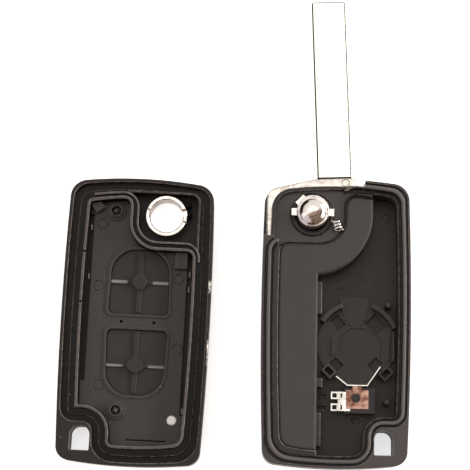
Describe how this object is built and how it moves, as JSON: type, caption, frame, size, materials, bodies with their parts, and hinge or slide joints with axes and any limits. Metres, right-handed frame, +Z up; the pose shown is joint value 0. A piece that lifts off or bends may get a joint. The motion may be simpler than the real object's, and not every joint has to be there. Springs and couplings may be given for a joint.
{
  "type": "flip key remote shell",
  "caption": "Opened black flip key remote shell: back half with folding uncut blade and release button, front half with two rubber keys.",
  "frame": {"origin": "on the table plane under the blade pivot of the back half", "axes": "+X from the front half to the back half, +Y towards the blade tip, +Z up out of the table; both insides face up"},
  "size_m": [0.0896, 0.1237, 0.0146],
  "materials": {
    "shell_black": "moulded, fine satin",
    "cover_black": "moulded, matte",
    "anchor_steel": "bright spring steel",
    "spring_steel": "drawn spring wire",
    "holder_black": "moulded, matte",
    "block_black": "moulded, matte",
    "strip_nickel": "nickel plated",
    "contact_copper": "bare phosphor bronze",
    "fork_nickel": "nickel plated",
    "front_black": "moulded, fine satin",
    "plate_black": "moulded, matte",
    "ring_chrome": "chrome plated",
    "lens_white": "milky clear",
    "head_chrome": "satin chrome",
    "bush_black": "moulded, matte",
    "blade_nickel": "nickel silver, polished",
    "pin_steel": "spring steel",
    "button_chrome": "chrome plated",
    "unlock_rubber": "moulded, matte",
    "lock_rubber": "moulded, matte"
  },
  "bodies": {
    "shell": {"back_shell": "shell_black", "slot_cover": "cover_black", "spring_anchor": "anchor_steel", "flip_spring": "spring_steel", "battery_holder": "holder_black", "contact_block": "block_black", "contact_strip": "strip_nickel", "contact_plate": "contact_copper", "contact_fork": "fork_nickel", "front_shell": "front_black", "key_plate": "plate_black", "locking_ring": "ring_chrome", "led_lens": "lens_white"},
    "flip_blade": {"flip_head": "head_chrome", "hub_bush": "bush_black", "blade": "blade_nickel", "blade_pin": "pin_steel"},
    "release": {"release_button": "button_chrome"},
    "unlock_key": {"unlock_button": "unlock_rubber"},
    "lock_key": {"lock_button": "lock_rubber"}
  },
  "joints": [
    {"name": "blade_flip", "type": "hinge", "parent": "shell", "child": "flip_blade", "pos_m": [0, 0, 0.00375], "axis": [0, 0, 1], "range_deg": [-2.6, 75]},
    {"name": "release_press", "type": "slide", "parent": "flip_blade", "child": "release", "axis": [0, 0, -1], "range_m": [0, 0.0015], "stiffness_N_per_m": 400, "springref_m": -0.002, "deforming": ["flip_spring"]},
    {"name": "unlock_press", "type": "slide", "parent": "shell", "child": "unlock_key", "axis": [0, 0, 1], "range_m": [0, 0.0005], "stiffness_N_per_m": 300, "springref_m": -0.0008},
    {"name": "lock_press", "type": "slide", "parent": "shell", "child": "lock_key", "axis": [0, 0, 1], "range_m": [0, 0.0005], "stiffness_N_per_m": 300, "springref_m": -0.0008}
  ]
}
